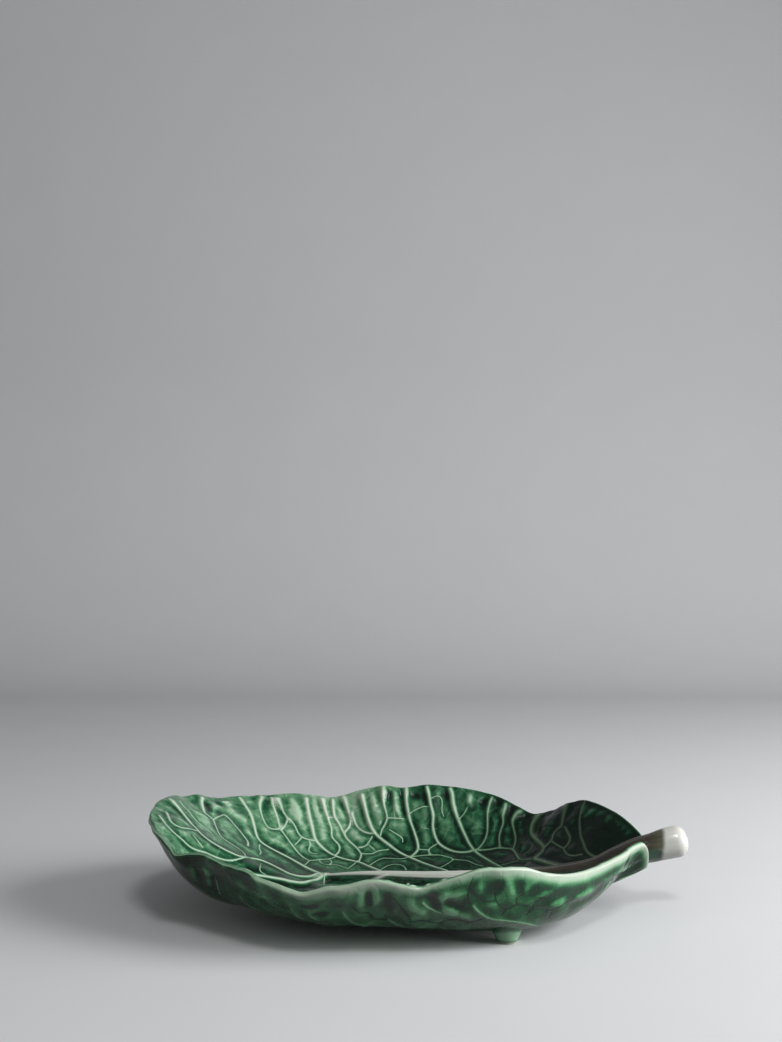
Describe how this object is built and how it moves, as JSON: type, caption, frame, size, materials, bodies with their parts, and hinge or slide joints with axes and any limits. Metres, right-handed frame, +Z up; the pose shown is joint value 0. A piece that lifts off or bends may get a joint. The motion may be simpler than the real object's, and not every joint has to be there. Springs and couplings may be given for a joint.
{
  "type": "leaf-shaped serving dish",
  "caption": "Serving dish shaped as a cabbage leaf, in green glazed earthenware with raised veins, a wavy rim, a pale cut stalk at one end and small feet.",
  "frame": {"origin": "middle of the outline's box, on the surface that the feet stand on", "axes": "+X along the midrib towards the cut stalk, +Y to the back side, +Z up"},
  "size_m": [0.3746, 0.258, 0.0695],
  "materials": {
    "leaf_glaze": "glossy green glaze, pale where it runs thin on veins and rim, dark where it pools",
    "stalk_glaze": "glossy cream glaze, white at the cut end",
    "foot_glaze": "glossy green glaze, bare clay under the foot"
  },
  "bodies": {
    "root": {"leaf_shell": "leaf_glaze", "stalk": "stalk_glaze", "foot_front": "foot_glaze", "foot_back": "foot_glaze", "foot_tip": "foot_glaze"}
  },
  "joints": []
}
